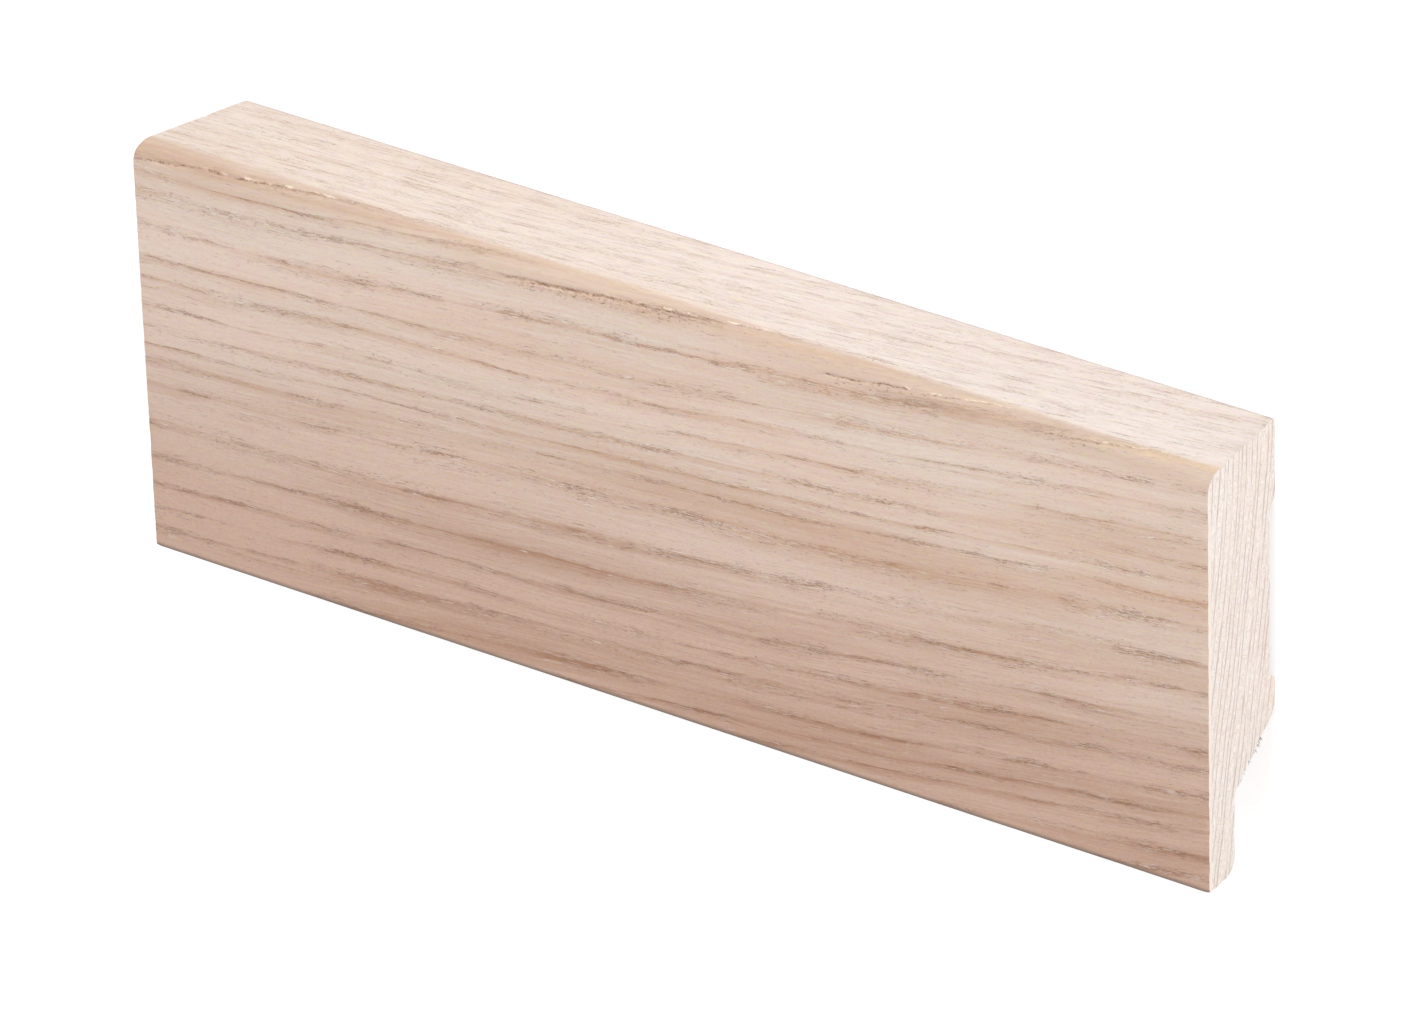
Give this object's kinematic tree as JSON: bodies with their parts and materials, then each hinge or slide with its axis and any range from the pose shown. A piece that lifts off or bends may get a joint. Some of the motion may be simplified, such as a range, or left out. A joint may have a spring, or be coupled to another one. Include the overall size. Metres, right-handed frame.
{
  "type": "skirting board length",
  "caption": "Short length of flat solid-wood skirting board with a rounded top arris, a hollowed back and a cable channel behind a thin foot, one end square and one mitred.",
  "frame": {"origin": "centre of the footprint, on the plane of the two back lands that the board lies on", "axes": "+X along the length towards the square end, +Y from the foot towards the top edge, +Z out of the show face"},
  "size_m": [0.155, 0.06, 0.016],
  "materials": {
    "oak": "planed and sanded, bare or white-oiled, matt"
  },
  "bodies": {
    "root": {"skirting_board": "oak"}
  },
  "joints": []
}
